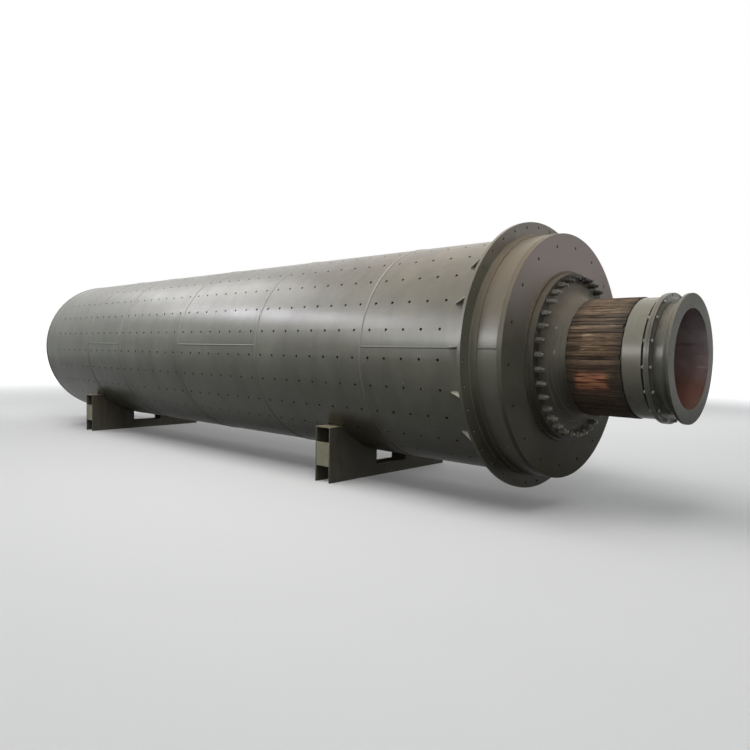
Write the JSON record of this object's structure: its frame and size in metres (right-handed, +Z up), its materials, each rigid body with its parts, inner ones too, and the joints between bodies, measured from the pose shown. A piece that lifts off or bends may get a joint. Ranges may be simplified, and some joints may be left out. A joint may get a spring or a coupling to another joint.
{
  "type": "ball mill",
  "caption": "Horizontal ball mill drum with drilled shell, gear flange, end covers and hollow trunnions, resting on two plate saddles.",
  "frame": {"origin": "on the floor, under the middle of the mill", "axes": "+X along the mill towards its gear flange end, -Y the side the picture shows, +Z up"},
  "size_m": [13.76, 2.97, 3.115],
  "materials": {
    "paint": "semi-gloss grey machine paint",
    "boards": "rough sawn, oiled and stained",
    "saddle_paint": "worn grey paint with rust",
    "bare_steel": "dull studs and nuts"
  },
  "bodies": {
    "root": {"shell_course_1": "paint", "shell_course_2": "paint", "shell_course_3": "paint", "shell_course_4": "paint", "shell_course_5": "paint", "shell_course_6": "paint", "end_barrel": "paint", "gear_flange": "paint", "flange_gussets": "paint", "near_cover": "paint", "near_seat_ring": "paint", "near_trunnion": "paint", "near_sleeve": "paint", "near_end_flange": "paint", "far_cover": "paint", "far_seat_ring": "paint", "far_trunnion": "paint", "far_sleeve": "paint", "far_end_flange": "paint", "near_journal_wrap": "boards", "far_journal_wrap": "boards", "near_saddle_inner_web": "saddle_paint", "near_saddle_outer_web": "saddle_paint", "near_saddle_caps": "saddle_paint", "near_saddle_end_plates": "saddle_paint", "far_saddle_inner_web": "saddle_paint", "far_saddle_outer_web": "saddle_paint", "far_saddle_caps": "saddle_paint", "far_saddle_end_plates": "saddle_paint"}
  },
  "joints": []
}
